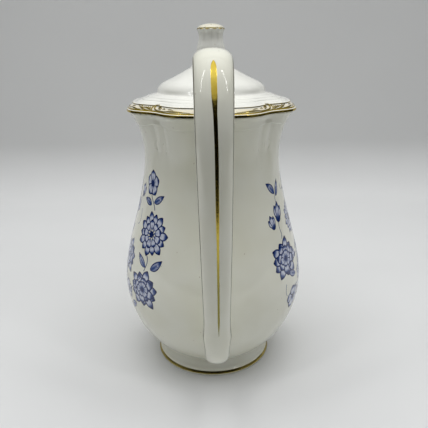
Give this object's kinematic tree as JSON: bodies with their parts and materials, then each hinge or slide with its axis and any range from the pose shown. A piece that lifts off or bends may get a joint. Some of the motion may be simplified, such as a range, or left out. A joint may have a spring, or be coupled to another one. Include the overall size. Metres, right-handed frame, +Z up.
{
  "type": "coffee pot",
  "caption": "Tall baluster-shaped porcelain coffee pot with a high loop strap handle, curved spout, loose lobed lid with a fluted knob, and gilded edges.",
  "frame": {"origin": "on the pot's axis, in the plane of the foot ring that it stands on", "axes": "+Z up along the pot's axis, -Y toward the handle, +Y toward the spout, +X to the right of someone who faces the handle"},
  "size_m": [0.1296, 0.2264, 0.2398],
  "materials": {
    "porcelain": "gloss",
    "knob_porcelain": "gloss",
    "gilding": "polished"
  },
  "bodies": {
    "pot": {"pot_body": "porcelain", "foot_ring": "porcelain", "rim_collar": "porcelain", "handle": "porcelain", "spout": "porcelain", "foot_gilding": "gilding", "handle_gilding": "gilding", "spout_gilding": "gilding"},
    "lid_assembly": {"lid": "porcelain", "lid_rim": "porcelain", "lid_tongue": "porcelain", "knob": "knob_porcelain", "lid_edge_gilding": "gilding", "lid_line_gilding": "gilding", "knob_gilding": "gilding"}
  },
  "joints": [
    {"name": "lid_lift", "type": "slide", "parent": "pot", "child": "lid_assembly", "axis": [0, 0, 1], "range_m": [0, 0.062]}
  ]
}
